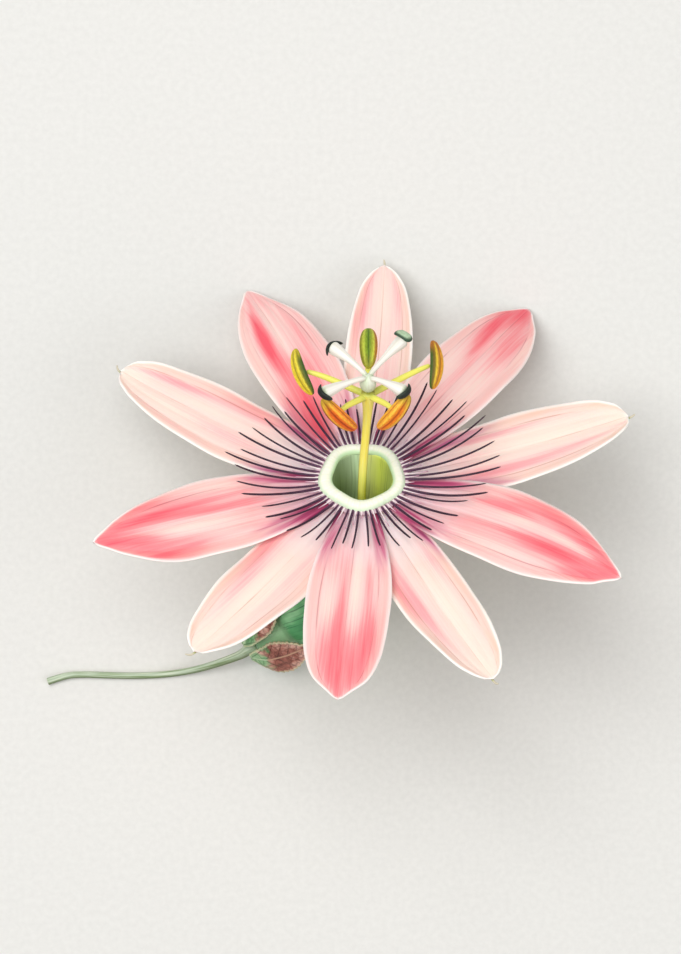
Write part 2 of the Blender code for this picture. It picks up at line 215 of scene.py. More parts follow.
sepals = {
    "steps": (96, 36),
    "thickness": 0.55,
    "base": (5.8, 6.1, -1.7),
    "arch": 0.6,
    "margin": 1.15,
    "outline": (0.50, 0.70, 0.87, 0.96, 1.00, 1.00, 0.95, 0.84, 0.66, 0.33),
    "tipRound": 0.05,
    "hood": 0.25,
    "groove": 0.22,
    "ripple": 0.16,
    "wave": (0.25, 17.0),  # height of the waved edge, and how quickly it waves
    # the flush is a plum wash near the throat, partly the flower's own colour and partly painted
    # shade along the blade edges where blades overlap
    "flushAndShade": (0.80, 0.05, 0.45),  # strength, share left in the middle, where it starts across
    "each": {
        "sepal_1": {
            "set": (85.2, 52.3, -0.7, 12.6, -0.6), "awn": 0.3, "margin": 0.5, "hood": 0.0,
            "outline": (0.50, 0.70, 0.87, 0.96, 1.00, 1.00, 0.95, 0.84, 0.65, 0.24),
            "rose": ((74, 72, 24, 24, 58), (80, -58, 20, 16, 36), (28, -30, 18, 45, 36)),
            "cream": ((78, 0, 18, 28, 60), (55, -70, 30, 20, 40)),
        },
        "sepal_2": {
            "set": (17.6, 52.4, -1.0, 15.4, -1.2), "awn": 0.3,
            "flushAndShade": (1.15, 0.08, 0.38), "flushAndShadeReach": 36.0,
            "rose": (
                (60, -45, 34, 15, 50), (40, 58, 26, 10, 45), (34, -52, 16, 18, 45),
                (24, 0, 14, 80, 25),
            ),
            "cream": ((65, 15, 35, 45, 100), (95, 0, 15, 100, 100)),
        },
        "sepal_3": {
            "set": (-63.2, 53.2, 1.5, 13.7, -0.4), "awn": 0.5,
            "flushAndShade": (0.95, 0.05, 0.45), "flushAndShadeReach": 31.0,
            "rose": ((34, -80, 24, 30, 90), (54, -52, 22, 14, 50), (30, 55, 14, 20, 25)),
            "cream": ((60, 20, 34, 35, 100), (95, 0, 15, 100, 100)),
        },
        "sepal_4": {
            "set": (-127.1, 51.2, 1.0, 14.6, 0.4), "awn": -1.2, "flushAndShade": (0.95, 0.22, 0.40),
            "rose": ((36, -82, 22, 28, 95), (54, -50, 18, 12, 36), (42, 42, 20, 18, 22)),
            "cream": ((60, 5, 34, 40, 100), (95, 0, 15, 100, 100)),
        },
        "sepal_5": {
            "set": (148.8, 53.0, -2.0, 14.7, 1.5), "awn": -1.0, "flushAndShade": (1.0, 0.18, 0.42),
            "rose": (
                (76, -54, 20, 14, 48), (38, -88, 20, 30, 100), (44, 30, 20, 18, 30),
                (60, 76, 30, 10, 25),
            ),
            "cream": ((74, 35, 26, 35, 90), (96, 0, 10, 100, 90), (58, -22, 24, 16, 70)),
        },
    },
}

petals = {
    "steps": (96, 36),
    "thickness": 0.45,
    "base": (6.0, 6.3, -0.6),
    "arch": 1.4,
    "margin": -0.5,
    "outline": (0.42, 0.62, 0.80, 0.93, 1.00, 1.00, 0.94, 0.78, 0.48, 0.10),
    "tipRound": 0.03,
    "hood": 0.0,
    "groove": 0.30,
    "ripple": 0.22,
    "wave": (0.25, 17.0),
    # the flush is a plum wash near the throat, partly the flower's own colour and partly painted
    # shade along the blade edges where blades overlap
    "flushAndShade": (0.85, 0.22, 0.34),
    "each": {
        "petal_1": {
            "set": (56.0, 56.9, -7.95, 16.0, -1.6),
            "outline": (0.42, 0.62, 0.80, 0.93, 1.00, 1.00, 0.96, 0.84, 0.57, 0.12),
            "rose": (
                (84, 36, 18, 24, 95), (70, 24, 14, 10, 60), (95, 25, 11, 90, 92),
                (74, -36, 19, 32, 52), (50, 8, 20, 10, 25), (24, 0, 12, 90, 25),
            ),
            "cream": (
                (46, 55, 16, 40, 60), (80, 2, 8, 8, 50), (42, -42, 18, 26, 70),
                (74, -82, 14, 14, 60),
            ),
        },
        "petal_2": {
            "set": (-25.7, 53.2, 0.0, 17.6, 1.0), "flushAndShade": (0.80, 0.36, 0.28),
            "rose": (
                (66, 72, 26, 24, 76), (94, 0, 10, 95, 85), (72, -12, 24, 22, 110),
                (84, -55, 12, 30, 55), (43, 50, 14, 15, 48), (80, 52, 12, 20, 50),
                (30, -30, 18, 50, 26),
            ),
            "cream": ((50, 28, 8, 16, 70), (74, 20, 12, 9, 90), (45, -58, 20, 22, 45)),
        },
        "petal_3": {
            "set": (-95.0, 52.8, 2.0, 15.8, 0.0),
            "outline": (0.42, 0.62, 0.80, 0.93, 1.00, 1.00, 0.97, 0.88, 0.64, 0.12),
            "rose": (
                (86, 5, 22, 74, 76), (68, 60, 16, 24, 50), (70, -30, 16, 20, 40),
                (55, -14, 22, 12, 50), (40, 46, 18, 9, 42), (25, -40, 14, 40, 25),
            ),
            "cream": ((40, 15, 28, 14, 95), (54, -48, 16, 17, 80), (70, 22, 14, 10, 65)),
        },
        "petal_4": {
            "set": (-163.5, 52.0, 0.0, 17.4, 1.1), "flushAndShade": (0.95, 0.30, 0.30),
            "rose": (
                (70, -40, 26, 24, 84), (46, -18, 18, 9, 55), (95, 0, 12, 95, 85),
                (72, 78, 18, 26, 92), (28, 0, 18, 100, 25), (80, -82, 16, 24, 62),
                (82, 36, 12, 30, 66), (62, 50, 12, 14, 30),
            ),
            "cream": ((58, 12, 20, 13, 80), (42, 38, 18, 24, 45), (42, -72, 14, 20, 60)),
        },
        "petal_5": {
            "set": (113.5, 54.5, -5.85, 15.8, 0.4),
            "rose": (
                (67, 38, 17, 17, 140), (50, 30, 10, 16, 55), (17, 50, 13, 50, 100),
                (29, 10, 14, 50, 85), (95, 20, 10, 70, 25), (62, -50, 30, 30, 24),
                (42, -15, 12, 30, 40),
            ),
            "cream": ((66, 0, 18, 13, 55), (78, -30, 20, 30, 35), (55, 85, 26, 20, 55)),
        },
    },
}


def patched(patches, s, t):
    total = 0.0
    for patch in patches:
        along, across, long, wide, strength = (value / 100.0 for value in patch)
        share = math.exp(-((s - along) / long) ** 2 - ((t - across) / wide) ** 2)
        total = total + strength * share - total * strength * share
    return total


def bladeForm(kind, look, s, t, seed):
    # radius, height, side and half width of a place on the blade, with its folds
    reach, tip, width, bend = look["set"][1:]
    start, cadStart, low = kind["base"]
    half = through(look.get("outline", kind["outline"]), s) * width / 2.0
    close = 1.0 - kind["tipRound"]
    if s > close:
        half *= dome((s - close) / kind["tipRound"])
    along = s + 0.02 * math.sin(math.pi * s) * (1 - t * t)
    r = cadStart + (reach - cadStart) * along - (cadStart - start) * (1.0 - ramp(s, 0.0, 0.08))
    w = low + (tip - low) * s**2.6 + kind["arch"] * math.sin(math.pi * s)
    lift = t * min(1.0, half / (width * 0.2))
    curled = ramp(s, 0.42, 0.72) * (1.0 - 0.45 * ramp(s, 0.86, 1.0))
    w += look.get("margin", kind["margin"]) * lift * lift * curled
    opened = ramp(s, 0.02, 0.2) * (1.0 - ramp(s, 0.88, 1.0))
    w -= kind["groove"] * bell(t * half, 0.6) * opened
    for line, depth in ((0.36, 0.5), (0.68, 0.7)):
        w -= kind["groove"] * depth * bell((abs(t) - line) * half, 0.45) * opened
    w += kind["ripple"] * noise.noise(Vector((s * 4.0, t * 1.6, seed))) * ramp(s, 0.1, 0.4)
    height, pace = kind["wave"]
    w += height * lift**4 * math.sin(s * pace + seed * 2.0) * ramp(s, 0.3, 0.6)
    w += look.get("hood", kind["hood"]) * lift * lift * ramp(s, 0.86, 1.0)
    return r, w, t * half + bend * math.sin(math.pi * s), half


def addBlade(name, kind, look, seed, materials):
    angle = look["set"][0]
    strength, middle, begin = look.get("flushAndShade", kind["flushAndShade"])
    bm, layers = newMesh()
    deform = bm.verts.layers.deform.verify()
    bmesh.ops.create_grid(bm, x_segments=kind["steps"][0], y_segments=kind["steps"][1], size=1.0)
    for vertex in bm.verts:
        s = (vertex.co.x + 1.0) / 2.0
        t = vertex.co.y
        r, w, side, half = bladeForm(kind, look, s, t, seed)
        vertex.co = around(angle, r, w, side)
        # a plum flush near the throat, stronger towards the blade's edges where blades overlap:
        # partly the flower's own colour and partly painted shade
        flushAndShade = strength * (middle + (1 - middle) * ramp(abs(t), begin, 0.95))
        flushAndShade *= ramp(r, look.get("flushAndShadeReach", 28.0), 11.0)
        edge = ramp((1.0 - abs(t)) * half, 0.65, 0.15) * ramp(s, 0.12, 0.3)
        edge = max(edge, ramp(s, 0.985, 1.0))
        rose, cream = patched(look["rose"], s, t), patched(look["cream"], s, t)
        vertex[layers["paint"]] = (rose, flushAndShade, cream, edge)
        vertex[layers["place"]] = (s * 46.0, t * half, seed * 7.3)
        vertex[layers["share"]] = (math.radians(angle) + math.atan2(side, r), r, t)
        vertex[deform][0] = 1.0 - 0.6 * max(abs(t) ** 6, ramp(s, 0.9, 1.0))
    bmesh.ops.remove_doubles(bm, verts=bm.verts, dist=1e-4)
    piece = finishPiece(name, bm, materials, [name.replace("Blade", "_")])
    piece.vertex_groups.new(name="fullness")
    shell = piece.modifiers.new("thickness", "SOLIDIFY")
    shell.thickness = kind["thickness"] * mm
    shell.offset = 0.0
    shell.vertex_group = "fullness"
    shell.thickness_vertex_group = 0.25
    shell.material_offset = 1
    shell.use_even_offset = False


petalGlow = {
    "Subsurface Weight": 0.12, "Subsurface Scale": 0.0008, "Subsurface Radius": (1.0, 0.45, 0.35),
}
backGrains = (("place", (0.05, 0.8, 1.0), 3.0), ("place", (0.035, 2.2, 1.0), 2.0))


def bladeMaterial(name, tones):
    # Living petal tissue: matt, faintly see-through, with fibres running to the tip.
    # Its washes are 1.5 mm wide, its fibres 0.3 mm, and the rays round the ring 1.2 mm.
    made, broad, fine, rays = newMaterial(
        name, ("place", (0.055, 0.65, 1.0), 3.0), ("place", (0.05, 3.2, 1.0), 2.0),
        ("share", (13.0, 0.05, 0.0), 2.0),
    )
    paint = addNode(made, "Attribute", attribute_name="paint")
    rosy, flushAndShadeAmount, creamy = addNode(made, "SeparateColor", (paint,)).outputs
    share = addNode(made, "Attribute", attribute_name="share").outputs["Vector"]
    distance, across = addNode(made, "SeparateXYZ", (share,)).outputs[1:]
    pale = addNode(made, "Mix", {0: creamy, 6: tones["pale"], 7: tones["cream"]}, data_type="RGBA")
    gain = addNode(made, "MapRange", (broad, 0.25, 0.75, 0.6, 1.3))
    rose = addNode(made, "Math", (rosy, gain), operation="MULTIPLY")
    streak = addNode(made, "MapRange", (fine, 0.3, 0.7, -0.09, 0.11))
    rose = addNode(made, "Math", (rose, streak), operation="ADD", use_clamp=True)
    warm = addNode(made, "ValToRGB", (rose,), ((0.30, tones["pink"]), (0.95, tones["rose"])))
    rose = addNode(made, "MapRange", (rose, 0.0, 0.48), interpolation_type="SMOOTHSTEP")
    # hair-thin veins: one down the middle, one inside each edge
    across = addNode(made, "Math", (across,), operation="ABSOLUTE")
    veins = addNode(made, "ValToRGB", (across,), (
        (0.0, "#FFFFFF"), (0.03, "#000000"), (0.655, "#000000"), (0.685, "#FFFFFF"),
        (0.715, "#000000"), (0.80, "#000000"), (0.82, "#909090"), (0.84, "#000000"),
    ))
    broken = addNode(made, "MapRange", (broad, 0.42, 0.60, 0.0, tones["veins"]))
    veins = addNode(made, "Math", (veins, broken), operation="MULTIPLY")
    margin = addNode(made, "MapRange", (across, 0.60, 0.84, 0.0, tones["tanned"]))
    uneven = addNode(made, "MapRange", (broad, 0.30, 0.62, 1.0, 0.35))
    margin = addNode(made, "Math", (margin, uneven), operation="MULTIPLY")
    # paler towards the throat, with plum rays over it: partly the flower's own flush and partly
    # painted shade, deepest along the blade edges where blades overlap
    foot = addNode(made, "MapRange", (distance, 22.0, 10.0, 0.0, 0.9))
    plain = addNode(made, "Math", (rosy, -1.2, 1.0), operation="MULTIPLY_ADD", use_clamp=True)
    foot = addNode(made, "Math", (foot, plain), operation="MULTIPLY")
    rays = addNode(made, "MapRange", (rays, 0.3, 0.7, 0.35, 1.5))
    flushAndShade = addNode(made, "Math", (flushAndShadeAmount, rays), operation="MULTIPLY")
    deep = addNode(made, "MapRange", (flushAndShade, 0.60, 1.15))
    plum = addNode(made, "Mix", {0: deep, 6: tones["flushAndShade"], 7: tones["deep"]}, data_type="RGBA")
    flushAndShade = addNode(made, "MapRange", (flushAndShade, 0.05, 0.8), interpolation_type="SMOOTHSTEP")
    height = addNode(made, "Math", (fine, broad), operation="ADD")
    coats = (
        (rose, warm), (margin, tones["margin"]), (veins, tones["line"]), (foot, tones["foot"]),
        (flushAndShade, plum), (paint.outputs["Alpha"], tones["edge"]),
    )
    return finishMaterial(made, pale, coats, (height, 0.06, 0.6), {
        "Roughness": 0.62, "IOR": 1.42, "Specular IOR Level": 0.25, "Sheen Weight": 0.08,
        **petalGlow,
    })


def sepalBackMaterial():
    # The sepal's leathery back: pink edges and a yellow-green band with dark veins.
    made, broad, fine = newMaterial("leatherySepalBack", *backGrains)
    share = addNode(made, "Attribute", attribute_name="share").outputs["Vector"]
    across = addNode(made, "SeparateXYZ", (share,)).outputs[2]
    across = addNode(made, "Math", (across,), operation="ABSOLUTE")
    stray = addNode(made, "MapRange", (broad, 0.3, 0.7, -0.13, 0.13))
    band = addNode(made, "Math", (across, stray), operation="ADD")
    pink = addNode(made, "ValToRGB", (broad,), ((0.3, "#F3B4AC"), (0.7, "#F8D5C6")))
    green = addNode(made, "ValToRGB", (band,), (
        (0.0, "#5F7F33"), (0.16, "#8FA545"), (0.30, "#B7C552"), (0.45, "#CBD07A"),
    ))
    veins = addNode(made, "MapRange", (fine, 0.58, 0.66, 0.0, 0.8))
    inside = addNode(made, "MapRange", (band, 0.72, 0.5))
    veins = addNode(made, "Math", (veins, inside), operation="MULTIPLY")
    band = addNode(made, "MapRange", (band, 0.62, 0.40), interpolation_type="SMOOTHSTEP")
    return finishMaterial(
        made, pink, ((band, green), (veins, "#4B5A22")), (fine, 0.10, 0.6),
        {"Roughness": 0.5, "IOR": 1.42, "Specular IOR Level": 0.35},
    )


def petalBackMaterial():
    # The petal's thin back: cream pink with hair-thin rosy veins.
    made, broad, fine = newMaterial("thinPetalBack", *backGrains)
    paint = addNode(made, "Attribute", attribute_name="paint")
    rose = addNode(made, "SeparateColor", (paint,))
    rose = addNode(made, "Math", (rose, 0.6), operation="MULTIPLY")
    colour = addNode(made, "ValToRGB", (broad,), ((0.3, "#F6CBC7"), (0.7, "#FCE4D9")))
    veins = addNode(made, "MapRange", (fine, 0.60, 0.67, 0.0, 0.5))
    return finishMaterial(
        made, colour, ((rose, "#F2989A"), (veins, "#C98288")), (fine, 0.08, 0.6),
        {"Roughness": 0.6, "IOR": 1.42, "Specular IOR Level": 0.28, **petalGlow},
    )


# the flush and deep tones are a plum wash near the throat, partly painted shade where blades
# overlap
sepalColours = {
    "pale": "#F9D5CD", "cream": "#FBE5D6", "pink": "#F9BBBA", "rose": "#F18E98",
    "flushAndShade": "#C97096", "deep": "#8A2F5C", "edge": "#FFF8F1", "line": "#B97F66", "veins": 0.6,
    "foot": "#FFF3F6", "margin": "#E9C2AA", "tanned": 0.75,
}
petalColours = {
    "pale": "#FACBC7", "cream": "#FCDFD3", "pink": "#F8A0A2", "rose": "#F4616F",
    "flushAndShade": "#CC5680", "deep": "#8A2A54", "edge": "#FFF1EC", "line": "#B0575F", "veins": 0.65,
    "foot": "#FFEAF0", "margin": "#F2A898", "tanned": 0.35,
}
sepalFront = bladeMaterial("fleshySepalFront", sepalColours)
sepalBack = sepalBackMaterial()
petalFront = bladeMaterial("satinPetalFront", petalColours)
petalBack = petalBackMaterial()

keel = {
    "from": 0.30, "to": 0.985, "steps": 9, "radius": 0.44, "sink": 0.42,
    "awnPast": 1.45, "awnRise": 0.4, "awnHook": 0.9, "awnRadii": (0.21, 0.12),
}


def addKeel(name, look, seed):
    # the keel down a sepal's back, which runs on past the tip as a thin curved awn
    angle, reach = look["set"][:2]
    points, radii = [], []
    for i in range(keel["steps"]):
        s = keel["from"] + (keel["to"] - keel["from"]) * i / (keel["steps"] - 1)
        r, w, side = bladeForm(sepals, look, s, 0.0, seed)[:3]
        slim = (0.4 + 0.6 * ramp(i, 0, 3)) * (1.0 - 0.5 * ramp(s, 0.6, 1.0))
        points.append(around(angle, r, w - keel["sink"], side))
        radii.append(keel["radius"] * slim)
    low = w - keel["sink"]
    past, hook = keel["awnPast"], keel["awnHook"] * look["awn"]
    points.append(around(angle, reach + past * 0.5, low + 0.05, hook * 0.25))
    points.append(around(angle, reach + past, low + keel["awnRise"], hook))
    radii += keel["awnRadii"]
    bm, layers = newMesh()
    swept(bm, layers, points, radii, faceOut, 10, 60)
    finishPiece(name, bm, [keelSkin], [name.replace("Keel", "_")])


def keelMaterial():
    # The keel and awn: smooth green rind that fades to a pale horny point.
    made, grain = newMaterial("smoothKeelRind", ("place", (0.5, 2.0, 1.0), 3.0))
    share = addNode(made, "Attribute", attribute_name="share").outputs["Vector"]
    path = addNode(made, "SeparateXYZ", (share,))
    green = addNode(made, "ValToRGB", (grain,), ((0.3, "#7F9A3E"), (0.7, "#A9BA50")))
    horn = addNode(made, "MapRange", (path, 0.80, 0.88), interpolation_type="SMOOTHSTEP")
    return finishMaterial(
        made, green, ((horn, "#CFC6AE"),), (grain, 0.08, 0.5),
        {"Roughness": 0.45, "Specular IOR Level": 0.35},
    )


keelSkin = keelMaterial()

skins = [sepalFront, sepalBack]
for index, (name, look) in enumerate(sepals["each"].items()):
    addBlade(name.replace("_", "Blade"), sepals, look, 1.7 + index, skins)
    addKeel(name.replace("_", "Keel"), look, 1.7 + index)
skins = [petalFront, petalBack]
for index, (name, look) in enumerate(petals["each"].items()):
    addBlade(name.replace("_", "Blade"), petals, look, 9.1 + index, skins)
print("sepals and petals")


def turned(bm, layers, profile, steps, sides, placeOf, paintOf):
    # a profile of (radius, height) taken once round, its seam and poles closed
    before = set(bm.verts)
    bmesh.ops.create_grid(bm, x_segments=steps, y_segments=sides, size=1.0)
    made = [vertex for vertex in bm.verts if vertex not in before]
    line = [Vector(point) for point in profile]
    for vertex in made:
        u = (vertex.co.x + 1.0) / 2.0
        turn = math.pi * (vertex.co.y + 1.0)
        r, h = through(line, u)
        r = max(r, 0.0)
        vertex.co = placeOf(r, h, turn, u)
        vertex[layers["place"]] = (turn, h, u)
        vertex[layers["paint"]] = paintOf(r, h, turn, u)
    bmesh.ops.remove_doubles(bm, verts=made, dist=1e-4)
    bmesh.ops.recalc_face_normals(bm, faces=bm.faces)


def blend(share, first, second):
    return tuple(a + (b - a) * share for a, b in zip(first, second))


# Calyx tube: a green tube that narrows to a knob where the stalk joins, mm.
tube = {
    "topDepth": 2.5, "handle": 21.0, "sides": 96, "ribs": 10, "ribDepth": 0.07, "least": 0.02,
    "end": (-20.0, -31.3, 4.9), "endDirection": (-0.84, -0.50, 0.02),
    # (radius, distance back from the end) over the knob, then inside the end
    "knob": ((0.0, 0.0), (1.9, 0.0), (3.4, 0.7), (4.2, 2.2), (4.35, 4.0), (4.3, 6.0),
             (4.75, 6.7), (5.7, 7.7), (6.15, 9.5), (6.1, 14.0)),
    "hollow": ((4.6, 9.5), (3.3, 6.6), (3.2, 3.0), (2.2, 1.7), (0.0, 1.5)),
    # (radius, distance from the rim) up the wall and over the rim, then down the bore
    "wall": ((6.0, 30.0), (6.0, 22.0), (6.0, 14.0), (6.1, 8.0), (6.3, 4.0), (6.4, 1.8),
             (6.15, 0.6), (5.85, -0.6), (5.8, -1.8), (6.15, -3.05), (5.75, -3.3)),
    "bore": ((5.6, -1.8), (5.45, 0.6), (5.25, 4.0), (5.25, 10.0), (5.25, 20.0), (5.25, 32.0)),
}


def tubeLine():
    start = mouth - faceOut * tube["topDepth"]
    end = Vector(tube["end"])
    last = Vector(tube["endDirection"]).normalized()
    reach = tube["handle"]
    return bezier(start, start - faceOut * reach, end - last * reach, end, 120)


tubePoints = tubeLine()
tubeLength = sum((b - a).length for a, b in zip(tubePoints, tubePoints[1:]))
tubeFrames = {}


def tubeFrame(distance):
    # place, direction and two directions across, at a distance from the rim
    key = round(distance, 3)
    if key not in tubeFrames:
        walked = 0.0
        for first, second in zip(tubePoints, tubePoints[1:]):
            step = (second - first).length
            if walked + step >= distance or second is tubePoints[-1]:
                break
            walked += step
        along = (second - first).normalized()
        across = (faceAcross - along * along.dot(faceAcross)).normalized()
        tubeFrames[key] = first + along * (distance - walked), along, across, along.cross(across)
    return tubeFrames[key]


def addTube():
    length = tubeLength
    profile = [(r, length - back) for r, back in tube["knob"]] + [*tube["wall"], *tube["bore"]]
    profile += [(r, length - back) for r, back in tube["hollow"]]
    neckShare = (len(tube["knob"]) + len(tube["wall"]) - 1.0) / (len(profile) - 1)

    def placeOf(r, h, turn, u):
        spot, along, across, over = tubeFrame(h)
        if u < neckShare:
            body = ramp(h, 2.0, 8.0) * (1.0 - ramp(h, length - 12.0, length - 7.0))
            r += tube["ribDepth"] * math.cos(tube["ribs"] * turn) * body
        co = spot + across * (r * math.cos(turn)) + over * (r * math.sin(turn))
        co.z = max(co.z, tube["least"])
        return co

    def paintOf(r, h, turn, u):
        inside = ramp(u, neckShare - 0.03, neckShare + 0.01)
        knob = ramp(h, length - 8.0, length - 6.2)
        # the third channel runs across the throat from one side to the other, for its painted
        # light and shade
        return inside, knob, 0.5 + 0.5 * math.cos(turn), ramp(h, 9.0, -1.0)

    bm, layers = newMesh()
    turned(bm, layers, profile, (len(profile) - 1) * 4, tube["sides"], placeOf, paintOf)
    finishPiece("calyxTubeWall", bm, [tubeMaterial()], ["calyx_tube"])


def tubeMaterial():
    # Calyx rind: smooth, waxy bloom over sea green, with lines about 0.4 mm apart down it.
    made, lines, cloud = newMaterial(
        "waxyCalyxRind", ("place", (16.0, 0.05, 0.0), 2.0), ("place", (1.6, 0.10, 0.0), 3.0)
    )
    paint = addNode(made, "Attribute", attribute_name="paint")
    inside, knob, side = addNode(made, "SeparateColor", (paint,)).outputs
    green = addNode(
        made, "ValToRGB", (cloud,), ((0.30, "#3A8050"), (0.5, "#5EA86E"), (0.7, "#98D29C"))
    )
    dark = addNode(made, "MapRange", (lines, 0.55, 0.66, 0.0, 0.6))
    knob = addNode(made, "Math", (knob, 0.75), operation="MULTIPLY")
    # the throat: painted light and shade over its own pale green, grey green shade to one side, a
    # pale highlight strip, and yellow green light to the other, all painted lighter than the wall
    # is, standing in for light down the tube
    throat = addNode(made, "ValToRGB", (side,), (
        (0.10, "#93A888"), (0.28, "#B4C8A8"), (0.42, "#E0FAD4"), (0.56, "#F8FCB0"),
        (0.80, "#F0FA74"), (0.97, "#BCCB6C"),
    ))
    shade = addNode(made, "MapRange", (lines, 0.52, 0.68, 0.0, 0.40))
    throat = addNode(made, "Mix", {0: shade, 6: throat, 7: "#5F7040"}, data_type="RGBA")
    coats = (
        (paint.outputs["Alpha"], "#A9BF62"), (dark, "#244F35"), (knob, "#A9D6A6"),
        (inside, throat),
    )
    return finishMaterial(made, green, coats, (lines, 0.10, 0.5), {
        "Roughness": 0.42, "IOR": 1.45, "Specular IOR Level": 0.4, "Coat Weight": 0.08,
    })


addTube()
print("calyx tube")

# Peduncle: the cut stalk, mm. The last points lie on the surface.
stalk = {
    "radius": 0.85, "sides": 18, "steps": 130, "cut": 0.012, "wave": 0.07,
    "via": ((-28.3, -35.1, 2.6), (-33.0, -36.3, 1.10), (-38.3, -37.0, 0.68),
            (-43.5, -37.2, 0.66), (-48.7, -37.1, 0.65), (-52.5, -37.0, 0.65),
            (-55.8, -37.2, 0.66), (-59.6, -38.3, 0.70)),
    "radii": (1.5, 1.15, 0.84, 0.70, 0.65, 0.63, 0.62, 0.62, 0.62, 0.64, 0.68),
}


def addStalk():
    last = Vector(tube["endDirection"]).normalized()
    end = Vector(tube["end"])
    points = [end + last * 0.1, end + last * 1.8, end + last * 4.0 - Vector((0.0, 0.0, 0.5))]
    points += [Vector(point) for point in stalk["via"]]

    def shapeOf(path, turn):
        return 1.0 + stalk["wave"] * 0.5 * math.cos(5.0 * turn + path * 6.0)

    def paintOf(path, turn, raw):
        # the third channel runs from one side of the stalk to the other, for the painted shade
        # down one side
        return ramp(path, 0.16, 0.02), ramp(raw, 0.9885, 0.992), 0.5 + 0.5 * math.sin(turn), 1.0

    bm, layers = newMesh()
    up = Vector((0.0, 0.0, 1.0))
    swept(bm, layers, points, stalk["radii"], up, stalk["sides"], stalk["steps"], paintOf,
          shapeOf, stalk["cut"])
    finishPiece("cutPeduncle", bm, [stalkMaterial()], ["peduncle"])


def stalkMaterial():
    # Pale green stalk rind: soft satin, ridged along its length, with a pale cut pith, and painted
    # shade darkening one side of it.
    made, lines = newMaterial("ridgedStalkRind", ("place", (0.12, 2.2, 1.0), 3.0))
    paint = addNode(made, "Attribute", attribute_name="paint")
    foot, pith, upper = addNode(made, "SeparateColor", (paint,)).outputs
    colour = addNode(made, "ValToRGB", (lines,), (
        (0.30, "#D3DCC2"), (0.48, "#B0C0A8"), (0.60, "#93A67F"), (0.72, "#5F7648"),
    ))
    # painted shade: darker olive down one side of the stalk
    shadedSide = addNode(made, "MapRange", (upper, 0.42, 0.12, 0.0, 0.8))
    return finishMaterial(
        made, colour, ((shadedSide, "#5C6B3C"), (foot, "#C8DCBE"), (pith, "#DCE3B8")),
        (lines, 0.08, 0.6), {"Roughness": 0.5, "Specular IOR Level": 0.35},
    )


addStalk()
print("stalk")

# Bracts: three leafy bracts round the tube's foot. Each is (turn from straight down, length,
# half width, how far it opens), degrees and mm.
bracts = {
    "each": {"bract_1": (138.0, 12.0, 3.7, 1.0), "bract_2": (215.0, 12.6, 3.5, 0.0),
             "bract_3": (-75.0, 12.6, 3.4, 0.0)},
    "outline": (0.26, 0.62, 0.88, 0.99, 1.0, 0.93, 0.78, 0.56, 0.33, 0.12),
    "stand": (2.35, 4.0, 5.4, 5.9, 6.4, 6.9, 7.2, 7.5, 8.1, 9.0),
    "steps": (88, 30), "teeth": 11, "toothDepth": 0.34, "thickness": 0.42, "mostCurl": 0.56,
    "foot": 2.0, "least": 0.25,  # start past the tube's end, and least height off the floor
    "veinGap": 2.1, "veinSlant": 0.9, "veinRise": 0.06, "midribDepth": 0.20, "unevenness": 0.16,
}


def addBract(name, look, seed, leaf):
    turn, long, wide, opened = look
    flat = 0.8 * opened
    bm, layers = newMesh()
    columns, rows = bracts["steps"]
    bmesh.ops.create_grid(bm, x_segments=columns, y_segments=rows, size=1.0)
    for vertex in bm.verts:
        s = (vertex.co.x + 1.0) / 2.0
        t = vertex.co.y
        half = wide * through(bracts["outline"], s)
        if s > 0.95:
            half *= dome((s - 0.95) / 0.05)
        tooth = (s * bracts["teeth"] * 1.3) % 1.0
        half += bracts["toothDepth"] * (tooth - 0.5) * ramp(abs(t), 0.7, 1.0) * ramp(s, 0.04, 0.15)
        stand = through(bracts["stand"], s) + 0.3 * opened * ramp(s, 0.1, 0.5)
        stand += bracts["unevenness"] * noise.noise(Vector((s * 5.0, t * 2.5, seed)))
        stand -= bracts["midribDepth"] * bell(t * half, 0.4)
        slant = s * long - abs(t) * half * bracts["veinSlant"]
        rib = math.sin(slant * 2.0 * math.pi / bracts["veinGap"])
        stand += bracts["veinRise"] * rib * ramp(abs(t), 0.05, 0.25)
        spot, along = tubeFrame(tubeLength + bracts["foot"] - long * s)[:2]
        curl = min(half / max(stand, 3.2), bracts["mostCurl"])
        angle = math.radians(turn) + (1.0 - flat) * t * curl
        roll = math.radians(15.0) * opened * ramp(s, 0.0, 0.45)
        down = (Vector((0.0, 0.0, -1.0)) + along * along.z).normalized()
        aside = along.cross(down)
        outward = down * math.cos(angle) + aside * math.sin(angle)
        beside = aside * math.cos(angle) - down * math.sin(angle)
        across = beside * math.cos(roll) - outward * math.sin(roll)
        vertex.co = spot + outward * stand + across * (flat * t * half)
        vertex.co.z = max(vertex.co.z, bracts["least"])
        edge = ramp((1.0 - abs(t)) * half, 0.5, 0.1)
        vertex[layers["paint"]] = (ramp(s, 0.02, 0.42), edge, abs(t), 1.0)
        vertex[layers["place"]] = (s * long, t * half, seed)
    bmesh.ops.remove_doubles(bm, verts=bm.verts, dist=1e-4)
    piece = finishPiece(name.replace("_", "Leaf"), bm, [leaf], [name])
    shell = piece.modifiers.new("thickness", "SOLIDIFY")
    shell.thickness = bracts["thickness"] * mm
    shell.offset = 0.0


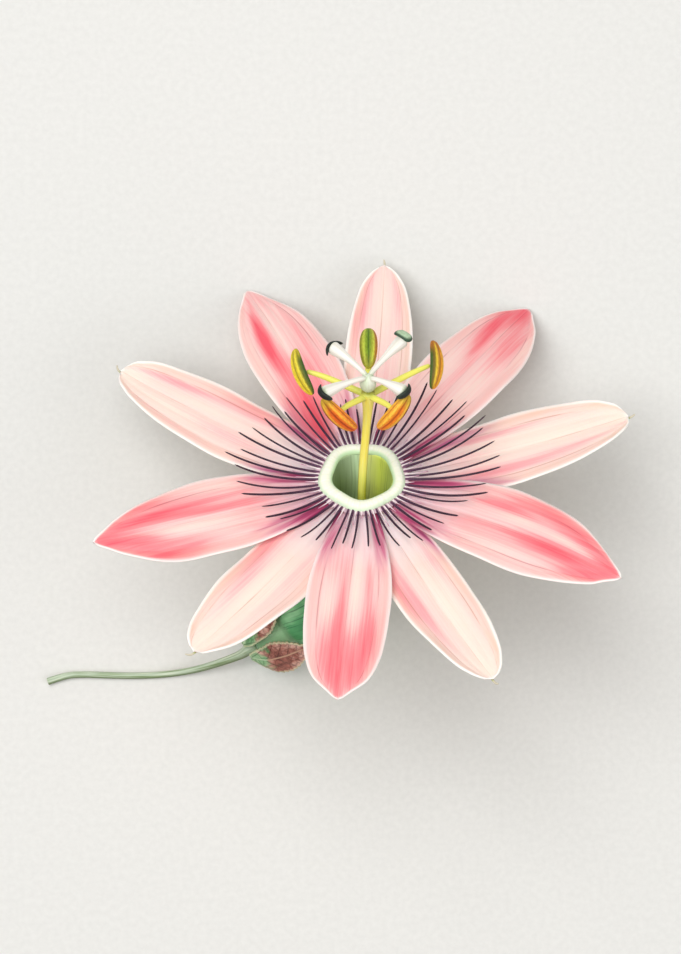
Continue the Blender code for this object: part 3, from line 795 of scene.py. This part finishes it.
def bractMaterial():
    # Bract leaf: thin, netted with dark veins, green at its foot and red brown to its tip.
    made, cloud = newMaterial("nettedBractLeaf", ("place", (0.40, 0.40, 1.0), 3.0))
    paint = addNode(made, "Attribute", attribute_name="paint")
    age, edge = addNode(made, "SeparateColor", (paint,)).outputs[:2]
    place = addNode(made, "Attribute", attribute_name="place").outputs["Vector"]
    along, across = addNode(made, "SeparateXYZ", (place,)).outputs[:2]
    across = addNode(made, "Math", (across,), operation="ABSOLUTE")
    # a net of cells 1.2 mm across, and side veins slanting off the midrib
    net = addNode(made, "TexVoronoi", {"Vector": place, "Scale": 0.85}, feature="DISTANCE_TO_EDGE")
    net = addNode(made, "MapRange", (net, 0.10, 0.02, 0.0, 0.5))
    wave = addNode(made, "Math", (across, -bracts["veinSlant"], along), operation="MULTIPLY_ADD")
    wave = addNode(made, "Math", (wave, math.pi / bracts["veinGap"]), operation="MULTIPLY")
    for operation in ("SINE", "ABSOLUTE"):
        wave = addNode(made, "Math", (wave,), operation=operation)
    sideVein = addNode(made, "MapRange", (wave, 0.16, 0.03))
    veins = addNode(made, "Math", (net, sideVein), operation="MAXIMUM")
    midrib = addNode(made, "MapRange", (across, 0.32, 0.12))
    stray = addNode(made, "MapRange", (cloud, 0.3, 0.7, -0.4, 0.4))
    aged = addNode(made, "Math", (age, stray), operation="ADD")
    aged = addNode(made, "MapRange", (aged, 0.3, 0.7), interpolation_type="SMOOTHSTEP")
    green = addNode(made, "ValToRGB", (cloud,), ((0.35, "#5C9660"), (0.65, "#B4D3A4")))
    brown = addNode(
        made, "ValToRGB", (cloud,), ((0.35, "#74423A"), (0.50, "#A4685A"), (0.65, "#D2A494"))
    )
    dark, rib = (
        addNode(made, "Mix", {0: aged, 6: young, 7: old}, data_type="RGBA")
        for young, old in (("#2F4F2A", "#3B1E18"), ("#BFD6AE", "#C59A80"))
    )
    height = addNode(made, "Math", (midrib, veins), operation="SUBTRACT")
    veins = addNode(made, "Math", (veins, 0.8), operation="MULTIPLY")
    edge = addNode(made, "Math", (edge, 0.7), operation="MULTIPLY")
    return finishMaterial(
        made, green, ((aged, brown), (veins, dark), (midrib, rib), (edge, "#DAD8B0")),
        (height, 0.15, 0.6), {"Roughness": 0.55, "Specular IOR Level": 0.3},
    )


bractLeaf = bractMaterial()
for index, (name, look) in enumerate(bracts["each"].items()):
    addBract(name, look, 3.3 + index, bractLeaf)
print("bracts")

# Corona ring: the raised pale rim of the throat, mm.
ring = {
    # (radius, height) once round the rim, from the foot of its inner wall
    "profile": ((5.85, 0.40), (5.70, 0.80), (5.83, 1.25), (6.25, 1.62), (6.75, 1.85),
                (7.35, 1.70), (7.75, 1.35), (8.00, 0.90), (7.95, 0.45), (7.20, 0.30),
                (6.40, 0.30), (5.85, 0.40)),
    "sides": 240, "folds": 42, "foldDepth": 0.035,
    "fiveSided": 0.038, "fiveTurn": 52.0,  # a faint five-sided swell, and where it starts
    "pull": 0.40, "pullTurn": 222.0,  # how far the rim leans in, and towards where
}


def addRing():
    def placeOf(r, h, turn, u):
        swell = 1.0 + ring["fiveSided"] * math.cos(5.0 * (turn - math.radians(ring["fiveTurn"])))
        swell += 0.010 * math.sin(2.0 * turn + 0.9)
        swell += 0.004 * math.cos(30.0 * turn) * ramp(r, 7.0, 8.0)
        fold = ring["foldDepth"] * math.sin(ring["folds"] * turn) * ramp(h, 0.5, 1.3)
        lean = max(0.0, math.cos(turn - math.radians(ring["pullTurn"])))
        r -= ring["pull"] * lean * ramp(r, 7.2, 6.0)
        return onFace(r * math.cos(turn) * swell, r * math.sin(turn) * swell, h + fold * 0.5)

    def paintOf(r, h, turn, u):
        folded = 0.5 + 0.5 * math.cos(ring["folds"] * turn)
        return ramp(r, 7.2, 8.0), ramp(r, 6.4, 5.8), folded, 1.0

    bm, layers = newMesh()
    turned(bm, layers, ring["profile"], 66, ring["sides"], placeOf, paintOf)
    finishPiece("throatRing", bm, [ringMaterial()], ["corona_ring"])


def ringMaterial():
    # The fleshy ring: wax-white, a little see-through, greener at its two edges.
    made, rays = newMaterial("waxyRingFlesh", ("place", (16.0, 0.6, 0.0), 3.0))
    paint = addNode(made, "Attribute", attribute_name="paint")
    outer, inner = addNode(made, "SeparateColor", (paint,)).outputs[:2]
    colour = addNode(made, "ValToRGB", (rays,), ((0.3, "#EEF0D8"), (0.7, "#FAF9EC")))
    coats = ((outer, "#D8EACB"), (inner, "#CBE6BC"))
    return finishMaterial(made, colour, coats, (rays, 0.10, 0.5), {
        "Roughness": 0.5, "IOR": 1.42, "Specular IOR Level": 0.3, "Subsurface Weight": 0.2,
        "Subsurface Scale": 0.0010, "Subsurface Radius": (0.8, 0.9, 0.5),
    })


addRing()

# Corona threads: dark ones, closest at the top, with short pale ones between their feet, mm.
threads = {
    "count": 52, "radius": 0.215, "sides": 8, "steps": 26, "gather": 0.10, "climb": 3.0,
    "foot": 7.75, "footHeight": 0.90, "slope": 0.05, "lift": 0.0125,
    "reach": (26.0, 24.0, 16.5, 21.5, 25.0, 20.0, 17.9, 20.0),  # every 45 degrees
    "paleFoot": 7.8, "paleReach": 11.6, "paleHeight": 0.85, "paleLift": 0.03, "paleRadius": 0.13,
    "collar": ((7.7, 0.45), (7.7, 0.80), (8.1, 0.90), (8.5, 0.86), (8.75, 0.70), (8.7, 0.5),
               (8.2, 0.40), (7.7, 0.45)),
}


def gathered(angle):
    return angle + math.degrees(threads["gather"]) * math.cos(math.radians(angle))


def addThreads():
    reaches = threads["reach"] + threads["reach"][:1]
    foot = threads["foot"]
    bm, layers = newMesh()
    turned(
        bm, layers, threads["collar"], 28, 180,
        lambda r, h, turn, u: onFace(
            r * math.cos(turn), r * math.sin(turn), h + 0.06 * math.cos(60.0 * turn)
        ),
        lambda r, h, turn, u: (0.45, 0.75 + 0.25 * math.cos(60.0 * turn), 0.0, 1.0),
    )
    for i in range(threads["count"]):
        even = 360.0 * (i + 0.5) / threads["count"] + 1.1 * math.sin(i * 2.3)
        angle = gathered(even)
        place = (angle % 360.0) / 360.0 * 8.0
        low = min(int(place), 7)
        reach = reaches[low] + (reaches[low + 1] - reaches[low]) * ramp(place - low, 0.0, 1.0)
        reach *= 0.985 + 0.05 * math.sin(i * 3.7)
        turn = 1.6 * math.sin(i * 1.1) + threads["climb"] * math.cos(math.radians(angle))
        points, radii = [], []
        for j in range(9):
            s = j / 8.0
            r = foot + (reach - foot) * s
            past = r - 8.85
            w = threads["footHeight"] + threads["slope"] * past + threads["lift"] * past ** 2
            w += 0.10 * math.sin(i * 1.9 + s * 5.0) * s
            points.append(around(angle + turn * s * s, r, w))
            fuller = 1.10 + 0.14 * math.sin(i * 2.9) - 0.30 * s - 0.25 * ramp(s, 0.85, 1.0)
            radii.append(threads["radius"] * fuller)
        swept(bm, layers, points, radii, faceOut, threads["sides"], threads["steps"],
              lambda path, turn, raw: (path, 0.0, 0.0, 1.0))
        between = gathered(even + 180.0 / threads["count"])
        start, rise = threads["paleFoot"], threads["paleLift"]
        span = threads["paleReach"] * (1.0 + 0.14 * math.sin(i * 5.1)) - start
        points = [around(between, start + span * j / 4.0, threads["paleHeight"] + rise * j * j)
                  for j in range(5)]
        radii = [threads["paleRadius"] * (1.1 - 0.12 * j) for j in range(5)]
        swept(bm, layers, points, radii, faceOut, 6, 12,
              lambda path, turn, raw: (path * 0.7, 1.0, 0.0, 1.0))
    finishPiece("coronaThreads", bm, [threadMaterial()], ["corona_threads"])


def threadMaterial():
    # Corona thread: a smooth fleshy filament, plum at its foot and near black beyond.
    made, grain = newMaterial("fleshyCoronaThread", ("place", (0.7, 1.0, 1.0), 3.0))
    paint = addNode(made, "Attribute", attribute_name="paint")
    along, short = addNode(made, "SeparateColor", (paint,)).outputs[:2]
    dark = addNode(made, "ValToRGB", (along,), (
        (0.0, "#7A4E6C"), (0.10, "#4A2B44"), (0.40, "#352031"), (1.0, "#2E1C28"),
    ))
    light = addNode(made, "MapRange", (grain, 0.45, 0.75, 0.0, 0.5))
    pale = addNode(
        made, "ValToRGB", (along,), ((0.0, "#FFF8F4"), (0.35, "#F3DDE2"), (0.65, "#C98AA6"))
    )
    return finishMaterial(
        made, dark, ((light, "#66445A"), (short, pale)), (grain, 0.04, 0.5),
        {"Roughness": 0.45, "Specular IOR Level": 0.25},
    )


addThreads()
print("corona")

# Column and filaments, mm.
column = {
    "radius": 0.80, "top": 26.6, "side": 1.1, "sides": 20, "steps": 120,
    "armRadii": (0.72, 0.66, 0.62, 0.60, 0.56, 0.50, 0.42), "armBack": 1.15, "armDrop": 1.4,
    "armsFrom": 25.4,
}
# middle of each anther in the face's own directions, its long axis and its face
anthers = {
    "size": (3.4, 1.9, 9.2), "bow": 0.045, "front": 0.30, "grid": (48, 44),
    # furrows: degrees from the middle of the face, depth as a share, width in degrees
    "furrows": ((0.0, 0.26, 16.0), (66.0, 0.10, 9.0), (180.0, 0.20, 26.0)),
    # each anther's tones round its long axis: partly its own yellow, orange and green; its darker
    # side and back partly painted shade, its darker furrows painted shade, its bright stripe
    # partly a painted highlight
    "each": {
        "anther_1": {
            "set": ((1.2, 10.6, 26.6), (0.0, 0.80, -0.60), (0.0, 0.60, 0.80)),
            "front": "#86A82A", "plus": "#E08A34", "minus": "#B3A92E", "back": "#8A8A3A",
            "groove": "#3F6212", "stripe": "#CFDC4E", "foot": "#A8A432",
        },
        "anther_2": {
            "set": ((-11.3, 4.4, 26.6), (0.36, -0.92, 0.15), (-0.75, -0.2, 0.6)),
            "front": "#F6D92E", "plus": "#E6B32A", "minus": "#465F1C", "back": "#6F8C3C",
            "groove": "#7C7A1C", "stripe": "#FFEE4E", "foot": "#D9C42C",
        },
        "anther_3": {
            "set": ((13.6, 6.3, 26.6), (-0.02, -0.98, 0.2), (0.8, 0.0, 0.6)),
            "front": "#F2A62A", "plus": "#48611A", "minus": "#DC6C1E", "back": "#6F8A3C",
            "groove": "#8A5C16", "stripe": "#FFDD3E", "foot": "#C9762A",
        },
        "anther_4": {
            "set": ((-4.3, -6.4, 27.2), (0.66, -0.62, -0.42), (-0.35, -0.3, 0.88)),
            "front": "#EE6A14", "plus": "#7A2A0C", "minus": "#F6922A", "back": "#5A2A10",
            "groove": "#8A2A0A", "stripe": "#FFC23E", "foot": "#C9B02C",
        },
        "anther_5": {
            "set": ((5.9, -6.4, 27.9), (-0.60, -0.68, -0.42), (0.35, -0.3, 0.88)),
            "front": "#F7881A", "plus": "#FBB636", "minus": "#7A2E0C", "back": "#5A2A10",
            "groove": "#A03A0C", "stripe": "#FFD24A", "foot": "#C9B02C",
        },
    },
}


def columnPoint(w):
    return onFace(column["side"] * ramp(w, -4.0, column["top"]), 0.0, w)


def axesOf(long, face):
    along = Vector(long).normalized()
    front = Vector(face)
    front = (front - along * along.dot(front)).normalized()
    return along, front, along.cross(front)


def columnMaterial():
    # Column and filaments: smooth yellow flesh with faint lines along it, and painted shade in
    # brown down the column's two sides and under the filaments.
    made, lines = newMaterial("smoothColumnFlesh", ("place", (0.10, 2.2, 1.0), 3.0))
    paint = addNode(made, "Attribute", attribute_name="paint")
    # the second paint channel is painted shade: brown down the column's two sides and under each
    # filament
    green, brown = addNode(made, "SeparateColor", (paint,)).outputs[:2]
    brown = addNode(made, "Math", (brown, 0.7), operation="MULTIPLY")
    colour = addNode(made, "ValToRGB", (lines,), ((0.3, "#FFF04A"), (0.7, "#FFFA8C")))
    coats = ((green, "#C3CC5E"), (brown, "#8A7A24"))
    return finishMaterial(made, colour, coats, (lines, 0.06, 0.5), {
        "Roughness": 0.42, "Specular IOR Level": 0.35, "Subsurface Weight": 0.08,
        "Subsurface Scale": 0.0006, "Subsurface Radius": (0.8, 0.6, 0.3),
    })


def addColumn():
    points = [tubeFrame(tubeLength - 2.1 - 3.6 * i)[0] for i in range(13)]
    points += [columnPoint(w) for w in (1.0, 6.0, 11.0, 16.0, 21.0, 24.6, column["top"])]
    radii = [1.1, 0.95] + [column["radius"]] * 15 + [0.92, 1.22, 1.30]
    bm, layers = newMesh()
    swept(
        bm, layers, points, radii, faceAcross, column["sides"], column["steps"],
        # the column's paint: green at its top, and painted shade in brown down its two sides
        lambda path, turn, raw: (ramp(path, 0.97, 1.0), math.cos(turn) ** 10, 0.0, 1.0),
        lambda path, turn: 1.0 + 0.03 * math.cos(5.0 * turn),
    )
    start = columnPoint(column["armsFrom"])
    for look in anthers["each"].values():
        middle, long, face = look["set"]
        front = axesOf(long, face)[1]
        end = onFace(*middle) - front * column["armBack"]
        bent = start.lerp(end, 0.75) - front * column["armDrop"]
        swept(
            bm, layers, bezier(start, start.lerp(end, 0.4), bent, end, 6), column["armRadii"],
            faceOut, 14, 36,
            # each filament's paint: greener at its foot, and painted shade in brown along its
            # underside
            lambda path, turn, raw: (
                0.35 + 0.55 * ramp(path, 0.35, 0.0),
                ramp(-math.cos(turn), 0.1, 0.9), 0.0, 1.0,
            ),
        )
    finishPiece("stamenColumn", bm, [columnMaterial()], ["androgynophore"])


def paintedFlesh(name, roughness, stretch, depth, contrast):
    # flesh whose tones lie along it, broken by a fine grain
    made, grain = newMaterial(name, ("place", stretch, 3.0))
    paint = addNode(made, "Attribute", attribute_name="paint")
    much = addNode(made, "MapRange", (grain, 0.35, 0.75, 0.0, contrast))
    colour = addNode(
        made, "Mix", {0: much, 6: paint, 7: "#B9A99A"}, data_type="RGBA", blend_type="MULTIPLY"
    )
    return finishMaterial(
        made, colour, (), (grain, depth, 0.6), {"Roughness": roughness, "Specular IOR Level": 0.35}
    )


def offFace(turn):
    # degrees round an anther from the middle of its face
    return (math.degrees(turn) + 90.0) % 360.0 - 180.0


def antherPaint(look, turn, z):
    # painted light and shade round the anther: the darker side and back are partly painted shade,
    # the furrows' darker tone is painted shade, and the bright stripe beside the middle furrow is
    # partly a painted highlight
    front, side = math.sin(turn), math.cos(turn)
    parts = ((max(front, 0.0) ** 4, "front"), (max(-front, 0.0) ** 2, "back"),
             (max(side, 0.0) ** 2, "plus"), (max(-side, 0.0) ** 2, "minus"))
    total = sum(weight for weight, key in parts)
    colour = (0.0, 0.0, 0.0, 1.0)
    for weight, key in parts:
        colour = tuple(c + weight / total * v for c, v in zip(colour, linear(look[key])))
    colour = blend(0.8 * ramp(z, -0.35, -0.85), colour, linear(look["foot"]))
    off = abs(offFace(turn))
    middle = 1.0 - ramp(abs(z), 0.75, 1.0)
    groove = max(bell(off, 8.0), 0.8 * bell(off - 66.0, 7.0)) * middle
    colour = blend(bell(off - 34.0, 9.0) * middle * 0.9, colour, linear(look["stripe"]))
    colour = blend(groove * 0.85, colour, linear(look["groove"]))
    return (*colour[:3], 1.0)


def addAnther(name, look, flesh):
    middle, long, face = look["set"]
    along, front, across = axesOf(long, face)
    centre = onFace(*middle)
    wide, thick, length = (size / 2.0 for size in anthers["size"])
    sides, rows = anthers["grid"]
    bm, layers = newMesh()
    bmesh.ops.create_uvsphere(bm, u_segments=sides, v_segments=rows, radius=1.0)
    for vertex in bm.verts:
        x, y, z = vertex.co
        turn = math.atan2(y, x)
        off = abs(offFace(turn))
        distance = math.hypot(x, y)
        fuller = distance ** -0.22 if distance > 1e-4 else 0.0
        dent = sum(depth * bell(off - at, width) for at, depth, width in anthers["furrows"])
        dent = 1.0 - dent * (1.0 - ramp(abs(z), 0.8, 1.0))
        px, py, pz = x * wide * fuller * dent, y * thick * fuller * dent, z * length
        bow = -anthers["bow"] * pz * pz + anthers["front"]
        vertex.co = centre + along * pz + across * px + front * (py + bow)
        vertex[layers["paint"]] = antherPaint(look, turn, z)
        vertex[layers["place"]] = (px, py, pz)
    bmesh.ops.recalc_face_normals(bm, faces=bm.faces)
    finishPiece(name.replace("_", "Lobes"), bm, [flesh], [name])


addColumn()
pollenFlesh = paintedFlesh("mealyAntherSkin", 0.6, (5.0, 5.0, 1.6), 0.10, 0.7)
for name, look in anthers["each"].items():
    addAnther(name, look, pollenFlesh)
print("column and anthers")

# Ovary, styles and stigmas, mm.
pistil = {
    "ovary": (3.2, 3.2, 4.2), "ovaryLift": 0.35, "styleLift": 0.7,
    "styleRadii": (0.50, 0.48, 0.48, 0.50, 0.54, 0.64, 0.82, 1.05, 1.25, 1.25),
    "stigmaBeyond": 0.95,
    # each style's end, its stigma's size, curl and tilt, and the tones of its face and rim
    "styles": {
        "style_1": ((-4.9, 6.0, 31.5), (4.1, 1.30, 0.85), 0.30, 0.25, "#161A17", "#232B24"),
        "style_2": ((7.0, 7.6, 31.5), (3.6, 2.60, 1.00), 0.16, 2.0, "#B7D2AE", "#35503C"),
        "style_3": ((-6.4, -4.7, 32.5), (4.1, 1.35, 0.85), 0.30, 0.25, "#161A17", "#232B24"),
        "style_4": ((7.2, -4.4, 32.5), (4.0, 1.35, 0.85), 0.28, 0.25, "#1D251D", "#2E3A2E"),
    },
}


def addOvary(base):
    wide, deep, tall = (size / 2.0 for size in pistil["ovary"])
    centre = onFace(column["side"], 0.0, base + tall)
    bm, layers = newMesh()
    bmesh.ops.create_uvsphere(bm, u_segments=42, v_segments=28, radius=1.0)
    for vertex in bm.verts:
        x, y, z = vertex.co
        turn = math.atan2(y, x)
        lobe = 0.5 + 0.5 * math.cos(3.0 * turn)
        rib = 1.0 - 0.05 * lobe ** 6 * (1.0 - z * z)
        vertex.co = centre + faceOut * (z * tall) + faceAcross * (x * wide * rib)
        vertex.co += faceUp * (y * deep * rib)
        tone = blend(ramp(z, -0.9, 0.7), linear("#B9D29A"), linear("#EAF0DF"))
        vertex[layers["paint"]] = (*blend(lobe, tone, linear("#D6E4C4"))[:3], 1.0)
        vertex[layers["place"]] = (turn, z * 2.0, 0.0)
    skin = paintedFlesh("waxyOvarySkin", 0.45, (4.0, 0.6, 1.0), 0.06, 0.3)
    finishPiece("ovaryBody", bm, [skin], ["ovary"])


def stylePaint(path, turn, raw):
    tone = blend(ramp(path, 0.0, 0.3), linear("#DDE8CF"), linear("#FAF7EE"))
    tone = blend(0.55 * ramp(abs(math.cos(turn * 2.0)), 0.8, 1.0), tone, linear("#D5D0BC"))
    return (*blend(ramp(path, 0.9, 1.0), tone, linear("#C6D2B4"))[:3], 1.0)


def addPistil():
    base = column["top"] + pistil["ovaryLift"]
    top = base + pistil["ovary"][2]
    addOvary(base)
    styleFlesh = paintedFlesh("glassyStyleFlesh", 0.35, (0.15, 2.0, 1.0), 0.05, 0.35)
    stigmaFlesh = paintedFlesh("velvetStigmaCap", 0.6, (2.5, 2.5, 2.5), 0.12, 0.5)
    for name, (end, *cap) in pistil["styles"].items():
        a, b, w = end
        out = Vector((a - column["side"], b)).normalized()
        foot = onFace(column["side"] + out.x * 0.8, out.y * 0.8, top - 0.35)
        tip = onFace(a, b, w)
        rise = faceOut * pistil["styleLift"]
        points = bezier(foot, foot + rise * 0.7, foot.lerp(tip, 0.55) + rise, tip, 8)
        heading = (points[-1] - points[-2]).normalized()
        points.append(tip + heading * 0.9)
        bm, layers = newMesh()
        swept(bm, layers, points, pistil["styleRadii"], faceOut, 20, 48, stylePaint,
              lambda path, turn: 1.0 + 0.06 * math.cos(3.0 * turn))
        finishPiece(name.replace("_", "Arm"), bm, [styleFlesh], [name])
        addStigma(name.replace("style_", "stigmaCap"), tip, heading, cap, stigmaFlesh)


def addStigma(name, tip, heading, cap, flesh):
    size, bend, tilt, face, rim = cap
    centre = tip + heading * pistil["stigmaBeyond"] + faceOut * (0.9 * ramp(tilt, 0.3, 0.9))
    heading = (heading + faceOut * tilt).normalized()
    across = heading.cross(faceOut).normalized()
    over = across.cross(heading)
    wide, deep, thick = (side / 2.0 for side in size)
    bm, layers = newMesh()
    bmesh.ops.create_uvsphere(bm, u_segments=36, v_segments=24, radius=1.0)
    for vertex in bm.verts:
        x, y, z = vertex.co
        fuller = math.sqrt(1.0 + x * x)
        px, py, pz = x * wide, y * deep * fuller, z * thick * fuller
        notch = 1.0 - 0.22 * bell(x, 0.35) * max(-y, 0.0)
        curl = -bend * (px * px + 0.5 * py * py)
        vertex.co = centre + heading * (pz + curl + 0.45) + across * px + over * (py * notch)
        tone = blend(ramp(math.hypot(x, y), 0.70, 0.94), linear(face), linear(rim))
        vertex[layers["paint"]] = (*tone[:3], 1.0)
        vertex[layers["place"]] = (px, py, pz)
    bmesh.ops.recalc_face_normals(bm, faces=bm.faces)
    finishPiece(name, bm, [flesh], [name.replace("Cap", "_")])


addPistil()
print("ovary, styles and stigmas")

scene = bpy.context.scene
scene.view_settings.view_transform = "Standard"

studio = {
    "floorSize": 3.0, "floorTones": ("#D8D7D3", "#DDDCD8"), "world": 0.40,
    "cameraHeight": 2.0, "focus": 0.036, "viewWidth": 0.127,
    # where each softbox stands, its size and its power, and the height they aim at
    "softboxes": {
        "keySoftbox": ((-0.30, 0.20, 1.05), 0.8, 10.2),
        "fillSoftbox": ((0.70, -0.35, 0.80), 0.9, 3.4),
    },
    "aim": 0.03,
}


def addStudio():
    bm = bmesh.new()
    bmesh.ops.create_grid(bm, x_segments=4, y_segments=4, size=studio["floorSize"] / 2.0)
    mesh = bpy.data.meshes.new("paperFloor")
    bm.to_mesh(mesh)
    bm.free()
    floor = bpy.data.objects.new("paperFloor", mesh)
    scene.collection.objects.link(floor)
    # Matt paper with a soft grain about 1 mm across.
    made = newMaterial("mattPaper")[0]
    place = addNode(made, "TexCoord").outputs["Object"]
    grain = addNode(made, "TexNoise", {"Vector": place, "Scale": 900.0, "Detail": 2.0})
    low, high = studio["floorTones"]
    tone = addNode(made, "ValToRGB", (grain,), ((0.3, low), (0.7, high)))
    shader = addNode(made, "BsdfPrincipled", {
        "Base Color": tone, "Roughness": 0.9, "Specular IOR Level": 0.1,
    })
    addNode(made, "OutputMaterial", {"Surface": shader})
    mesh.materials.append(made)
    world = bpy.data.worlds.new("studioAir")
    world.use_nodes = True
    air = world.node_tree.nodes["Background"]
    air.inputs["Color"].default_value = (1.0, 1.0, 1.0, 1.0)
    air.inputs["Strength"].default_value = studio["world"]
    scene.world = world
    for name, (place, size, power) in studio["softboxes"].items():
        light = bpy.data.lights.new(name, "AREA")
        light.size = size
        light.energy = power
        holder = bpy.data.objects.new(name, light)
        holder.location = place
        beam = Vector((0.0, 0.0, studio["aim"])) - Vector(place)
        holder.rotation_euler = beam.to_track_quat("-Z", "Y").to_euler()
        scene.collection.objects.link(holder)
    view = bpy.data.cameras.new("overheadCamera")
    view.sensor_fit = "HORIZONTAL"
    distance = studio["cameraHeight"] - studio["focus"]
    view.lens = view.sensor_width * distance / studio["viewWidth"]
    camera = bpy.data.objects.new("overheadCamera", view)
    camera.location = (0.0, 0.0, studio["cameraHeight"])
    scene.collection.objects.link(camera)
    scene.camera = camera


addStudio()
print("studio")
